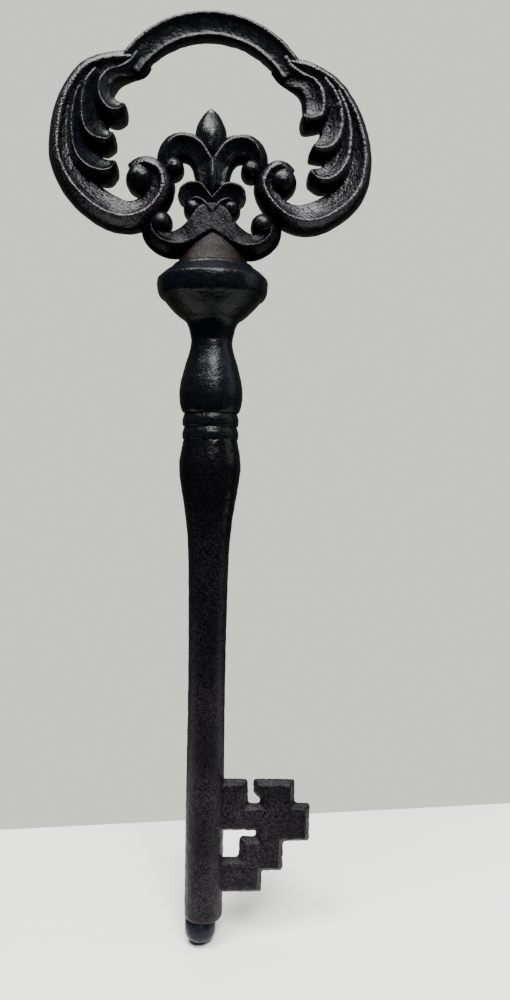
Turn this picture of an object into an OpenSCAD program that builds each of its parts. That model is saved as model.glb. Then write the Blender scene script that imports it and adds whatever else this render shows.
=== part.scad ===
// Large decorative skeleton key, upright as it hangs: the origin is the point inside the top of the
// bow's arch where a hook carries it, the shank runs down along -Z, the openwork bow lies in the
// XZ plane and the bit points to +X. The front faces -Y.

/* [Shank] */
// Diameter of the lower part of the shank
shank_d = 16.3; // [14:0.1:18]
// Diameter of the shank at its waist, above the bit
waist_d = 15.8; // [13.5:0.1:17]
// Length of the plain part, from the end of the tip to the start of the flare
shank_len = 137.7; // [120:0.1:165]
// Diameter of the smooth tip
tip_d = 13.2; // [10:0.2:14]
// Length of the smooth tip
tip_len = 10.8; // [8:0.2:13]
// Height of the tip's rounded end
dome_h = 5.3; // [4:0.1:6.5]
// How far the tip stands to the left of the shank's axis
tip_shift = 1.2; // [0:0.1:1.6]
// Rounding at the lower end of the shank
shank_round = 3.6; // [2:0.2:5]

/* [Flare and swell] */
// Length over which the shank flares out to the swell
flare_len = 56; // [40:1:70]
// Diameter of the swell
swell_d = 26; // [22:0.2:29]
// Height from the swell to the reeds
swell_top_len = 11; // [9:0.5:16]

/* [Reeds] */
// Diameter over the reeds
reed_d = 23.7; // [21:0.1:25]
// Height of one reed
reed_h = 5.7; // [4:0.1:8]
// Depth of the groove between reeds
reed_groove = 0.6; // [0.3:0.1:1.2]

/* [Baluster] */
// Length of the baluster
baluster_len = 30; // [24:1:40]
// Diameter of the baluster's belly
baluster_d = 26.8; // [23:0.2:30]
// Diameter of the narrow neck above it
neck_d = 17.3; // [14.5:0.1:20]

/* [Collar] */
// Height of the collar, neck to top edge
collar_len = 31.6; // [27:0.2:38]
// Diameter of the collar's rim
collar_d = 46.4; // [42:0.2:52]
// Diameter of the collar's top seat
seat_d = 31; // [29:0.5:34]

/* [Bow] */
// Width of the bow over its lobes
bow_w = 134.4; // [120:0.2:150]
// Thickness of the lobes and leaves
bow_t = 20; // [17:0.5:23]
// Thickness of the flower and the foot scrolls
flower_t = 16; // [14:0.5:18]
// How far the flower stands to the left of the shank's axis
flower_shift = 0.75; // [0:0.05:1]
// Dip of the flower's faces for each millimetre from the rim
flower_slope = 0.4; // [0.2:0.05:0.6]
// Dip of the foot scrolls' faces for each millimetre from the rim
foot_slope = 0.25; // [0.1:0.05:0.5]
// How far the foot scrolls' walls slope out
foot_draft = 4.4; // [3:0.2:4.8]
// How far the left lobe's outer wall slopes out from the face to the middle plane
left_draft = 4.4; // [2.4:0.2:4.8]
// How far the right lobe's outer wall slopes out
right_draft = 3.6; // [2.4:0.2:4.8]
// Dip of the lobes' faces for each millimetre from the rim
lobe_slope = 0.8; // [0.4:0.1:0.9]
// Dip of the leaves' faces for each millimetre from the rim
leaf_slope = 0.7; // [0.4:0.1:0.9]
// How far the leaves' walls slope out
leaf_draft = 3.2; // [2:0.2:4]
// Height of the cone under the bow
cone_len = 19; // [16:1:22]

/* [Arch] */
// Thickness of the arch
arch_t = 12.4; // [10:0.2:15]
// Width of the arch, across its faces
arch_w = 10.6; // [8.6:0.2:12]
// Width of the flat on the arch's outer bead
arch_bead = 2.2; // [1.6:0.1:3]
// Depth of the channel in the arch's faces
arch_channel = 2.1; // [1:0.1:2.5]
// How far the arch's centre line stands to the left of the shank's axis
arch_shift = 1.95; // [0:0.05:2.5]

/* [Bit] */
// Thickness of the bit
bit_t = 6; // [5:0.5:8]
// Slope of the bit's edges, face to middle plane
bit_bevel = 2.3; // [1:0.1:2.4]
// Reach of the bit from the shank's axis
bit_reach = 45.2; // [42:0.2:52]
// Height of the bit's top edge above the lower end of the shank
bit_top = 60; // [57:0.2:68]
// Height of the bit
bit_h = 49.4; // [48:0.2:54]

/* [Joints] */
// Diameter of the long tenon that carries the turned pieces
tenon_d = 10; // [8:0.5:11]
// Radial clearance of the tenon in its bores
tenon_gap = 0.05; // [0.02:0.01:0.1]
// Depth of the tenon in the cone
tenon_seat = 9; // [6:0.5:12]
// Depth of the bit's tongues in the shank
tongue_depth = 4; // [2:0.5:5]
// Thickness of the bit's tongues
tongue_t = 4; // [3:0.5:5]
// Diameter of the tip's spigot inside the shank
spigot_d = 6; // [4:0.5:8]
// Length of that spigot
spigot_len = 6; // [4:0.5:10]

/* [Hidden] */
$fn = 64;

// The lobes' lines, from the arch down and round to the volute
left_lobe_line = [
    [-34.5, 82.7, -33.4, 79.2, 0.6], [-38.8, 82.2, -38.1, 78.1, 0.68], [-45.4, 80.7, -43.4, 76.5, 0.84],
    [-52.7, 77, -49.3, 72.7, 0.96], [-58.3, 69.8, -53.9, 66.7, 1], [-62.2, 60.6, -57.4, 59.2, 1],
    [-63.8, 51.1, -58.8, 50.4, 1], [-64, 43.6, -58.4, 44, 1], [-62.3, 37.1, -56.2, 38.6, 1],
    [-57.9, 29.4, -51.7, 33.9, 1], [-51.6, 23, -47.1, 30.1, 1], [-43.9, 18.2, -41.5, 26.7, 1],
    [-35.1, 16.7, -35.5, 24.4, 1], [-27.5, 19.5, -30.7, 25.8, 1], [-22.5, 25, -27.5, 28.6, 1],
    [-20.5, 31.2, -26.1, 32.2, 1], [-22.3, 36.8, -27.1, 34.7, 0.96], [-27, 39.5, -28.9, 36, 0.88],
    [-30.8, 39.3, -30.3, 36, 0.74], [-33.1, 37.3, -31.5, 35.4, 0.6]
];
right_lobe_line = [
    [30.9, 83.2, 30.1, 79.5, 0.6], [35.4, 82.3, 34.9, 78.2, 0.68], [41, 79.9, 39.1, 75.9, 0.84],
    [48.5, 75.2, 44.9, 71.1, 0.96], [54.3, 68.5, 49.7, 65.1, 1], [58.7, 60.2, 53.5, 57.7, 1],
    [61.5, 51.2, 55.6, 49.7, 1], [62.4, 42.7, 56, 42.6, 1], [60.9, 33.7, 54.3, 36.1, 1],
    [57.1, 27, 50.9, 32.1, 1], [51.5, 22.1, 46.3, 29.1, 1], [44.1, 18.1, 41.5, 26.7, 1],
    [36.2, 17.3, 35.1, 25, 1], [28.9, 20, 30.3, 26, 1], [22.9, 25.6, 27.2, 28.6, 1],
    [20, 32, 25.3, 32.2, 1], [22, 37.4, 25.7, 35, 0.96], [26.2, 40.4, 27.3, 36.8, 0.88],
    [29.4, 39.8, 28.5, 36.6, 0.74], [31.4, 38, 29.7, 35.8, 0.6]
];

// The bow is drawn upwards from the top of the collar, in outlines that s brings to the bow's width
rim_right = max([for (q = right_lobe_line) q[0]]);
rim_left = min([for (q = left_lobe_line) q[0]]);
s = (bow_w - left_draft - right_draft) / (rim_right - rim_left);
// Middle radius of the arch and height of its centre above the collar, as drawn
arch_mid = 39.9;
arch_rise = 58;
arch_inside = s * arch_mid - arch_w / 2;

// Heights of the turned pieces, stacked from the tip up
turned_len = tip_len + shank_len + flare_len + swell_top_len + 2 * reed_h + baluster_len + collar_len;
tip_z = -turned_len - s * arch_rise - arch_inside;
shank_z = tip_z + tip_len;
flare_z = shank_z + shank_len;
swell_z = flare_z + flare_len;
reeds_z = swell_z + swell_top_len;
baluster_z = reeds_z + 2 * reed_h;
collar_z = baluster_z + baluster_len;
bow_z = collar_z + collar_len;

iron = [0.10, 0.10, 0.11];
sand_iron = [0.20, 0.18, 0.18];
rust_iron = [0.34, 0.25, 0.22];
blue_iron = [0.22, 0.25, 0.29];

// Smooth curve through a list of points of any dimension, with steps points for each stretch
function knot(p, i) = p[max(0, min(len(p) - 1, i))];
function blend(a, b, c, d, t) =
    0.5 * (2 * b + (c - a) * t + (2 * a - 5 * b + 4 * c - d) * t * t
        + (3 * b - a - 3 * c + d) * t * t * t);
function curve(p, steps) = [
    for (i = [0 : len(p) - 2], k = [0 : steps - 1])
        blend(knot(p, i - 1), p[i], p[i + 1], knot(p, i + 2), k / steps),
    p[len(p) - 1]
];

// Turned pieces

module turned(outline) {
    rotate_extrude() polygon(outline);
}

module tenon(from_z, to_z, r, x = 0) {
    translate([x, 0, from_z]) cylinder(h = to_z - from_z, r = r);
}

module tip() {
    r = tip_d / 2;
    dome = [for (a = [0 : 10 : 90]) [r * sin(a), tip_z + dome_h * (1 - cos(a))]];
    // a fine groove sets the tip off from the shank
    groove = [[r, shank_z - 0.25], [r - 0.3, shank_z - 0.25], [r - 0.3, shank_z], [0, shank_z]];
    color(blue_iron) union() {
        translate([-tip_shift, 0, 0]) turned(concat(dome, groove));
        tenon(shank_z - 1, shank_z + spigot_len, spigot_d / 2, -tip_shift);
    }
}

module shank_blank() {
    r = shank_d / 2;
    waist = waist_d / 2;
    lower = [for (a = [0 : 15 : 90])
        [r - shank_round * 0.28 * (1 - sin(a)), shank_z + shank_round * (1 - cos(a))]];
    plain = curve([
        [r, shank_z + 0.1 * shank_len], [r, shank_z + 0.24 * shank_len], [(r + waist) / 2, shank_z + 0.46 * shank_len],
        [waist, shank_z + 0.67 * shank_len], [waist + 0.1, shank_z + 0.84 * shank_len], [waist + 0.35, flare_z]
    ], 2);
    flare = curve([
        [waist + 0.36, flare_z + 0.02 * flare_len], [waist + 0.55, flare_z + 0.18 * flare_len],
        [waist + 0.87, flare_z + 0.36 * flare_len], [swell_d / 2 - 3.4, flare_z + 0.55 * flare_len],
        [swell_d / 2 - 1.95, flare_z + 0.73 * flare_len], [swell_d / 2 - 0.35, flare_z + 0.91 * flare_len],
        [swell_d / 2, swell_z], [swell_d / 2 - 0.42, swell_z + 0.42 * swell_top_len],
        [reed_d / 2, swell_z + 0.78 * swell_top_len], [reed_d / 2 - reed_groove, reeds_z]
    ], 3);
    turned(concat([[0, shank_z]], lower, plain, flare, [[0, reeds_z]]));
}

module shank() {
    color(sand_iron) difference() {
        union() {
            shank_blank();
            tenon(reeds_z - 1, bow_z + tenon_seat, tenon_d / 2);
        }
        tenon(shank_z - 1, shank_z + spigot_len, spigot_d / 2, -tip_shift);
        bit_tongues();
    }
}

module bore() {
    tenon(shank_z, bow_z + tenon_seat, tenon_d / 2 + tenon_gap);
}

module reed(z) {
    r = reed_d / 2;
    belly = [for (q = [[0.8, 0], [0.25, 0.07], [0, 0.24], [0, 0.5], [0.25, 0.64], [1.1, 0.9], [1.4, 1]])
        [r - reed_groove * q[0], z + reed_h * q[1]]];
    color(iron) difference() {
        turned(concat([[0, z]], belly, [[0, z + reed_h]]));
        bore();
    }
}

module baluster() {
    belly_r = baluster_d / 2;
    neck_r = neck_d / 2;
    outline = curve([
        [reed_d / 2 - 0.2, baluster_z], [belly_r - 0.55, baluster_z + 0.1 * baluster_len],
        [belly_r, baluster_z + 0.28 * baluster_len], [belly_r - 0.55, baluster_z + 0.44 * baluster_len],
        [(belly_r + neck_r) / 2 + 0.5, baluster_z + 0.6 * baluster_len],
        [neck_r + 1.3, baluster_z + 0.78 * baluster_len], [neck_r + 0.2, baluster_z + 0.94 * baluster_len],
        [neck_r, baluster_z + baluster_len]
    ], 3);
    color(iron) difference() {
        turned(concat([[0, baluster_z]], outline, [[0, collar_z]]));
        bore();
    }
}

module collar() {
    rim_r = collar_d / 2;
    neck_r = neck_d / 2;
    cove = curve([
        [neck_r, collar_z], [neck_r + 0.65, collar_z + 3.4], [neck_r + 1.3, collar_z + 5.8],
        [neck_r + 2.7, collar_z + 8.2], [neck_r + 4.5, collar_z + 9.6]
    ], 3);
    under = [[rim_r - 8.3, collar_z + 11.1], [rim_r - 5.9, bow_z - 18.2], [rim_r - 3.8, bow_z - 15.9],
        [rim_r - 2.5, bow_z - 14.4]];
    rim = curve([
        [rim_r - 1.6, bow_z - 14], [rim_r - 0.9, bow_z - 13.1], [rim_r - 0.3, bow_z - 11.4], [rim_r, bow_z - 8.6],
        [rim_r - 0.25, bow_z - 6.7], [rim_r - 0.9, bow_z - 5.1], [rim_r - 2, bow_z - 3.9], [rim_r - 3.4, bow_z - 3]
    ], 2);
    top = [[seat_d / 2 + 2.5, bow_z - 2], [seat_d / 2 + 0.9, bow_z - 1], [seat_d / 2 + 0.1, bow_z]];
    color(iron) difference() {
        turned(concat([[0, collar_z]], cove, under, rim, top, [[0, bow_z]]));
        bore();
    }
}

module cone_blank() {
    turned([[0, bow_z], [seat_d / 2, bow_z], [seat_d / 2 - 0.2, bow_z + 0.8],
        [seat_d / 2 - 0.61 * cone_len, bow_z + cone_len], [0, bow_z + cone_len]]);
}

module bow_root() {
    color(rust_iron) difference() {
        cone_blank();
        bore();
    }
}

// Bit

module bevelled_bar(x0, x1, z0, z1) {
    y = bit_t / 2;
    b = bit_bevel;
    polyhedron(
        points = concat(
            [for (p = [[x0 + b, z0 + b], [x1 - b, z0 + b], [x1 - b, z1 - b], [x0 + b, z1 - b]]) [p[0], -y, p[1]]],
            [for (p = [[x0, z0], [x1, z0], [x1, z1], [x0, z1]]) [p[0], 0, p[1]]],
            [for (p = [[x0 + b, z0 + b], [x1 - b, z0 + b], [x1 - b, z1 - b], [x0 + b, z1 - b]]) [p[0], y, p[1]]]
        ),
        faces = concat(
            [[3, 2, 1, 0], [8, 9, 10, 11]],
            [for (k = [0, 4], i = [0 : 3]) [k + i, k + (i + 1) % 4, k + 4 + (i + 1) % 4, k + 4 + i]]
        )
    );
}

bit_x0 = 2;
bit_high = shank_z + bit_top;
bit_low = bit_high - bit_h;
bar_low = bit_high - 22.3;
bar_high = bit_high - 10.7;
arm_low = bit_low + 22.2;
ledge_high = bit_low + 24.2;
window_low = bit_low + 15.3;
step = 9.3;

module bit_blank() {
    // first tooth, cross bar and the long arm
    bevelled_bar(bit_x0, 18.5, bar_low, bit_high);
    bevelled_bar(bit_x0, bit_reach, bar_low, bar_high);
    bevelled_bar(22, bit_reach, arm_low, bar_high);
    // second tooth, undercut at its foot
    bevelled_bar(20.8, bit_reach - 6.8, bit_high - 6.2, bit_high - 0.2);
    bevelled_bar(23.5, bit_reach - 6.8, arm_low, bit_high - 0.2);
    // stepped web down to the foot
    bevelled_bar(22, 33.9, bit_low + step, bar_high);
    bevelled_bar(15, 33.9, bit_low + step, ledge_high);
    bevelled_bar(15, 24.8, bit_low, ledge_high);
    bevelled_bar(bit_x0, 24.8, bit_low, window_low);
}

module bit_tongues() {
    for (z = [[bit_low + 3, window_low - 3], [bar_low + 3, bit_high - 3]])
        translate([shank_d / 2 - tongue_depth, -tongue_t / 2, z[0]])
            cube([tongue_depth + 2, tongue_t, z[1] - z[0]]);
}

module bit() {
    color(sand_iron) union() {
        difference() {
            bit_blank();
            shank_blank();
        }
        difference() {
            bit_tongues();
            translate([shank_d / 2 + 1, -bit_t, bit_low]) cube([bit_reach, 2 * bit_t, bit_h]);
        }
    }
}

// Bow. The left side of the flower is the mirror image of the right; the lobes and their leaves
// have outlines of their own.

// Solid through a row of rings with the same number of points, closed by flat fans at both ends
module loft(rings, start, end) {
    n = len(rings);
    m = len(rings[0]);
    sides = [for (i = [0 : n - 2], k = [0 : m - 1]) each [
        [m * i + k, m * i + (k + 1) % m, m * i + m + (k + 1) % m],
        [m * i + k, m * i + m + (k + 1) % m, m * i + m + k]]];
    ends = [for (k = [0 : m - 1]) each [
        [m * n, (k + 1) % m, k],
        [m * n + 1, m * (n - 1) + k, m * (n - 1) + (k + 1) % m]]];
    polyhedron(
        points = concat([for (q = rings) each q], [start, end]),
        faces = concat(sides, ends)
    );
}

// A scroll or leaf. Each station holds a point of its rim, the point of its inner edge across from
// it, its share of the full thickness and, where it isn't 1, its share of the rim's draft. The face
// dips from the rim towards the inner edge, and both walls slope out to the middle plane. The far
// end is drawn out by tip_out.
module scroll(stations, thick, slope, rim_draft, edge_draft, tip_out) {
    rows = curve(stations, 3);
    n = len(rows);
    a = s * rows[0];
    b = s * rows[n - 1];
    c = s * rows[n - 2];
    next = s * rows[1];
    // the rings turn the other way round where the rim lies on the other side
    side = (next[0] - a[0]) * (a[3] - a[1]) > (next[1] - a[1]) * (a[2] - a[0]) ? 1 : -1;
    rings = [for (q = rows)
        let (rim = s * [q[0], q[1]], edge = s * [q[2], q[3]], w = edge - rim, wide = max(norm(w), 0.01),
            u = w / wide, half = q[4] * thick / 2, y = side * half, d = side * min(slope * wide, 0.75 * half),
            draft = rim_draft * (len(q) > 5 ? q[5] : 1), near = rim - draft * u, wall = rim - 0.8 * draft * u,
            far = edge + edge_draft * u, hollow = rim + 0.5 * w)
        [[rim[0], -y, rim[1]], [hollow[0], 0.66 * d - y, hollow[1]], [edge[0], d - y, edge[1]],
         [far[0], 0, far[1]],
         [edge[0], y - d, edge[1]], [hollow[0], y - 0.66 * d, hollow[1]], [rim[0], y, rim[1]],
         [wall[0], 0.5 * y, wall[1]], [near[0], 0, near[1]], [wall[0], -0.5 * y, wall[1]]]];
    ahead = [b[0] + b[2] - c[0] - c[2], b[1] + b[3] - c[1] - c[3]];
    reach = tip_out / max(norm(ahead), 0.01) * ahead;
    translate([0, 0, bow_z]) loft(rings,
        [(a[0] + a[2]) / 2, 0, (a[1] + a[3]) / 2],
        [(b[0] + b[2]) / 2 + reach[0], 0, (b[1] + b[3]) / 2 + reach[1]]);
}

// A ball drawn out to both faces, y deep to each side
module knob(x, z, r, y) {
    dome = [for (a = [15 : 15 : 90]) [s * r * pow(sin(a), 0.85), y * pow(cos(a), 0.85)]];
    translate([s * x, 0, bow_z + s * z]) rotate([90, 0, 0]) rotate_extrude()
        polygon(concat([[0, -y]], [for (q = dome) [q[0], -q[1]]], [for (i = [4 : -1 : 0]) dome[i]], [[0, y]]));
}

// A bud or petal that is rounded across; each station holds a height, a half width and a half depth
module bud_shape(stations, aside) {
    rows = curve(stations, 3);
    depth = flower_t / 16;
    rings = [for (q = rows)
        [for (a = [0 : 30 : 330]) [s * (q[1] * cos(a) + aside), -depth * q[2] * sin(a), s * q[0]]]];
    translate([0, 0, bow_z])
        loft(rings, [s * aside, 0, s * rows[0][0]], [s * aside, 0, s * rows[len(rows) - 1][0]]);
}

module right_half() {
    intersection() {
        children();
        translate([0, -bow_t, bow_z - 1]) cube([bow_w, 2 * bow_t, bow_w]);
    }
}

// The flower's own place, and the mirror image of its right side
module flower() {
    translate([-flower_shift, 0, 0]) children();
}

module flower_left() {
    flower() mirror([1, 0, 0]) children();
}

// Arch

arch_end = 58;
arch_z = bow_z + s * arch_rise;

module arch() {
    y = arch_t / 2;
    floor_y = y - arch_channel;
    inner = arch_inside;
    outer = arch_inside + arch_w;
    front = [[outer, 0], [outer - 0.3, -0.7 * y], [outer - 0.8, -0.9 * y], [outer - 1.4, -y],
        [outer - arch_bead, -y], [outer - arch_bead - 1.1, -floor_y - 0.42 * arch_channel],
        [outer - arch_bead - 2.2, -floor_y - 0.12 * arch_channel], [inner + 2.4, -floor_y],
        [inner + 1.3, -floor_y - 0.35], [inner + 0.6, -floor_y], [inner + 0.1, -0.3 * y], [inner, 0]];
    back = [for (i = [10 : -1 : 1]) [front[i][0], -front[i][1]]];
    color(iron) translate([-arch_shift, 0, arch_z]) rotate([90, 0, 0])
        rotate([0, 0, 90 - arch_end])
        rotate_extrude(angle = 2 * arch_end) polygon(concat(front, back));
}

// The sector between the two ends of the arch, which the lobes leave free
module arch_sector() {
    r = bow_w / 2;
    translate([-arch_shift, 0, arch_z]) rotate([90, 0, 0]) linear_extrude(2 * bow_t, center = true)
        polygon([[0, 0], [r * sin(arch_end), r * cos(arch_end)], [0, 2 * r],
            [-r * sin(arch_end), r * cos(arch_end)]]);
}

// Lobes with their volutes

volute_r = 6.1;
volute_depth = 0.51 * bow_t;

module left_volute_ball() color(iron) knob(-30.5, 33.9, volute_r, volute_depth);
module right_volute_ball() color(iron) knob(28.3, 34.4, volute_r, volute_depth);

module left_lobe_blank() scroll(left_lobe_line, bow_t, lobe_slope, left_draft, 1, 0.6);
module right_lobe_blank() scroll(right_lobe_line, bow_t, lobe_slope, right_draft, 1, 0.6);

// Leaves inside the lobes, each one overlapping the next lower one

left_low_line = [
    [-55.5, 68.6, -52.4, 66.2, 0.96], [-57.5, 62.1, -52.9, 60.7, 1], [-58.4, 54.9, -52, 55.2, 1],
    [-58, 47.6, -51.2, 50.2, 1], [-56.5, 41.8, -49.2, 46.7, 1], [-53.3, 37.7, -47.4, 43.7, 1],
    [-49.2, 35.4, -46.4, 41.5, 1], [-45, 34.7, -44, 40.6, 1], [-42.1, 35.6, -42, 40.1, 1],
    [-40.7, 37.9, -40.9, 39.5, 0.98]
];
left_middle_line = [
    [-48.5, 76.2, -45.9, 73.7, 0.94], [-52.3, 71.2, -46.7, 69.2, 1], [-54.1, 65, -46.1, 64.3, 1],
    [-54.3, 58.2, -45.3, 60.1, 1], [-53.3, 52.7, -44.6, 57.7, 1], [-50.8, 49.2, -44.6, 55.3, 1],
    [-47.2, 47.5, -44.4, 53.1, 1], [-44, 47.2, -43.2, 51.9, 1], [-41.8, 49.1, -42, 50.9, 0.98]
];
left_top_line = [
    [-32.3, 85.1, -27.3, 80.8, 0.58], [-35.7, 80.6, -30.2, 77, 0.6], [-39.7, 78.1, -35.3, 75.5, 0.68],
    [-43.7, 75.9, -39.7, 74.1, 0.86], [-46.7, 71.5, -42.3, 71.1, 1], [-47.5, 67.1, -43.1, 68.3, 1],
    [-46.4, 63.2, -42.3, 66.3, 1], [-43.7, 59.9, -40.7, 64.7, 1], [-40.2, 59, -38.9, 63.5, 1],
    [-37.3, 60.7, -37.3, 62.7, 0.98]
];
right_low_line = [
    [50.7, 71.1, 47.6, 68.6, 0.96], [54.1, 63.9, 49.3, 62.1, 1], [56, 55.9, 50, 55.6, 1],
    [56, 48, 49.2, 50.5, 1], [54.2, 41.1, 47.6, 46.7, 1], [50.9, 36.5, 46, 43.3, 1],
    [46.9, 34.5, 44.8, 40.9, 1], [43.1, 34.5, 42.4, 39.9, 1], [40.1, 37, 40.4, 39.1, 0.98]
];
right_middle_line = [
    [44.7, 76.1, 41.5, 73.6, 0.94], [49.1, 70.5, 43.5, 68.5, 1], [51.7, 64.1, 43.9, 63.1, 1],
    [52.5, 57.5, 43.9, 59.5, 1], [51, 51.5, 44.6, 56.1, 1], [48, 47.8, 44.1, 53.5, 1],
    [44.2, 46.9, 42.8, 51.5, 1], [40.8, 47.5, 41.4, 49.5, 0.98]
];
right_top_line = [
    [28.7, 85.4, 23.8, 81, 0.58], [32.2, 80.9, 26.8, 77.2, 0.6], [36.6, 77.9, 30.5, 74.8, 0.7],
    [40.3, 75.5, 34.7, 72.8, 0.88], [43.5, 71.3, 36.7, 69.7, 1], [44.7, 66.1, 37.3, 66.1, 1],
    [44.1, 61.1, 37.5, 63.5, 1], [41.1, 59.1, 37.3, 61.9, 1], [37.1, 59, 36.5, 60.9, 0.98]
];
leaf_t_top = 0.98 * bow_t;
leaf_t_low = 0.96 * bow_t;
leaf_tip = 1.4;

module left_low_blank() scroll(left_low_line, leaf_t_low, leaf_slope, leaf_draft, 1, leaf_tip);
module left_middle_blank() scroll(left_middle_line, leaf_t_top, leaf_slope, leaf_draft, 1, leaf_tip);
module left_top_blank() scroll(left_top_line, bow_t, leaf_slope, leaf_draft, 1, leaf_tip);
module right_low_blank() scroll(right_low_line, leaf_t_low, leaf_slope, leaf_draft, 1, leaf_tip);
module right_middle_blank() scroll(right_middle_line, leaf_t_top, leaf_slope, leaf_draft, 1, leaf_tip);
module right_top_blank() scroll(right_top_line, bow_t, leaf_slope, leaf_draft, 1, leaf_tip);

module left_lobe() {
    color(iron) difference() {
        left_lobe_blank();
        arch_sector();
        left_volute_ball();
        left_low_blank();
        left_middle_blank();
        left_top_blank();
    }
}

module right_lobe() {
    color(iron) difference() {
        right_lobe_blank();
        arch_sector();
        right_volute_ball();
        right_low_blank();
        right_middle_blank();
        right_top_blank();
    }
}

module left_leaf_top() {
    color(iron) difference() {
        left_top_blank();
        arch_sector();
    }
}

module left_leaf_middle() {
    color(iron) difference() {
        left_middle_blank();
        left_top_blank();
    }
}

module left_leaf_low() {
    color(iron) difference() {
        left_low_blank();
        left_middle_blank();
        left_top_blank();
    }
}

module right_leaf_top() {
    color(iron) difference() {
        right_top_blank();
        arch_sector();
    }
}

module right_leaf_middle() {
    color(iron) difference() {
        right_middle_blank();
        right_top_blank();
    }
}

module right_leaf_low() {
    color(iron) difference() {
        right_low_blank();
        right_middle_blank();
        right_top_blank();
    }
}

// Flower, drawn round its own middle line

petal_line = [
    [0.5, 31.6, 4.9, 31.2, 1, 1], [0.5, 36, 5.7, 34.6, 1, 1], [0.5, 41.5, 6.6, 38.6, 1, 1],
    [2.4, 45.2, 7.6, 41, 1, 1], [4.8, 48.4, 9, 42.8, 1, 1], [8.4, 50.5, 11, 43.7, 1, 1],
    [12.4, 51.1, 13, 43.8, 1, 1], [16, 50.2, 14.6, 43.4, 1, 1.1], [18.6, 47.4, 15.6, 42.6, 0.96, 1.3],
    [19.6, 43.8, 16, 41.6, 0.84, 1.4], [19.2, 40, 16.4, 40.2, 0.7, 1.3]
];
small_leaf_line = [
    [-0.5, 25.8, 0.6, 20.6, 1], [2.1, 29.2, 3.4, 23.6, 1], [4.6, 31.8, 6, 25.4, 1], [7.6, 32.5, 8, 25.6, 1],
    [10.8, 31.8, 9.6, 25.2, 1], [13, 29.8, 10.6, 25, 1], [13.4, 27, 11.2, 25, 0.96]
];
small_scroll_line = [
    [-0.5, 19.4, 3.2, 16.2, 0.9], [1.3, 22.6, 4.4, 19.2, 1], [3.2, 25, 5.6, 21, 1], [6.2, 26.3, 7, 21.8, 1],
    [8.6, 25.8, 8.2, 21.6, 0.9]
];
foot_line = [
    [-0.5, 13.4, -0.5, 24.5, 1], [3.8, 11.2, 4.8, 22.8, 1], [7.4, 8.8, 8.2, 18.6, 1], [11, 7.2, 11.2, 15.2, 1],
    [14.8, 6.8, 14.4, 13.2, 1], [18.6, 7.3, 17.6, 12.4, 1], [22, 9.2, 20, 12.8, 0.98],
    [24.4, 12, 21.6, 13.8, 0.92], [24.9, 15.4, 22, 15.4, 0.82], [23.6, 18.2, 21.4, 16.8, 0.7]
];

centre_petal_rows = [
    [42, 1.2, 5.5], [45, 3.6, 7.4], [49, 5.8, 8.2], [53, 6.6, 8.2], [56.6, 6.1, 7.2], [59.8, 4.7, 5.6],
    [62.6, 2.7, 3.6], [64.6, 0.6, 1]
];
bud_rows = [
    [27, 0.5, 7.4], [29.4, 2, 8.6], [32, 3, 9.2], [34.6, 3.3, 9.4], [37.6, 2.6, 9.2], [40.2, 1.4, 8.8],
    [42.4, 0.3, 8]
];

module right_petal_blank() scroll(petal_line, flower_t, flower_slope, 2.8, 1.4, 0.6);
module small_leaf_blank() scroll(small_leaf_line, flower_t, flower_slope, 1.2, 0.8, 0.5);
module small_scroll_blank() scroll(small_scroll_line, flower_t, flower_slope, 0.8, 0.6, 0.4);
module foot_blank() scroll(foot_line, flower_t, foot_slope, foot_draft, 0.8, 0.5);
module bud_blank() bud_shape(bud_rows, 0);
module petal_ball_blank() knob(16.1, 39, 4.4, 0.5 * flower_t);
module small_ball_blank() knob(7.7, 22.6, 4.2, 0.51 * flower_t);
module foot_ball_blank() knob(21.2, 16.6, 5, 0.525 * flower_t);

module bud() {
    color(iron) flower() difference() {
        bud_blank();
        small_leaf_blank();
        mirror([1, 0, 0]) small_leaf_blank();
    }
}

module centre_petal() {
    color(iron) flower() difference() {
        bud_shape(centre_petal_rows, -0.9);
        bud_blank();
        right_petal_blank();
        mirror([1, 0, 0]) right_petal_blank();
    }
}

// A side petal, cut to its own half and round its neighbours
module petal_cut() {
    difference() {
        right_half() right_petal_blank();
        bud_blank();
        small_leaf_blank();
        petal_ball_blank();
    }
}

module right_petal() {
    color(iron) difference() {
        flower() petal_cut();
        right_lobe_blank();
    }
}

module left_petal() {
    color(iron) difference() {
        flower_left() petal_cut();
        left_lobe_blank();
    }
}

module right_petal_ball() {
    color(iron) difference() {
        flower() petal_ball_blank();
        right_lobe_blank();
    }
}

module left_petal_ball() {
    color(iron) difference() {
        flower_left() petal_ball_blank();
        left_lobe_blank();
    }
}

module small_leaf_cut() {
    difference() {
        right_half() small_leaf_blank();
        foot_blank();
        small_scroll_blank();
        small_ball_blank();
    }
}

module right_small_leaf() color(iron) flower() small_leaf_cut();
module left_small_leaf() color(iron) flower_left() small_leaf_cut();

module small_ball_cut() {
    difference() {
        union() {
            right_half() small_scroll_blank();
            small_ball_blank();
        }
        foot_blank();
    }
}

module right_small_ball() {
    color(iron) difference() {
        flower() small_ball_cut();
        cone_blank();
    }
}

module left_small_ball() {
    color(iron) difference() {
        flower_left() small_ball_cut();
        cone_blank();
    }
}

module foot_cut() {
    difference() {
        right_half() foot_blank();
        foot_ball_blank();
    }
}

module right_foot_scroll() {
    color(iron) difference() {
        flower() foot_cut();
        cone_blank();
        right_lobe_blank();
    }
}

module left_foot_scroll() {
    color(iron) difference() {
        flower_left() foot_cut();
        cone_blank();
        left_lobe_blank();
    }
}

module right_foot_ball() {
    color(iron) difference() {
        flower() foot_ball_blank();
        right_lobe_blank();
    }
}

module left_foot_ball() {
    color(iron) difference() {
        flower_left() foot_ball_blank();
        left_lobe_blank();
    }
}

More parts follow.
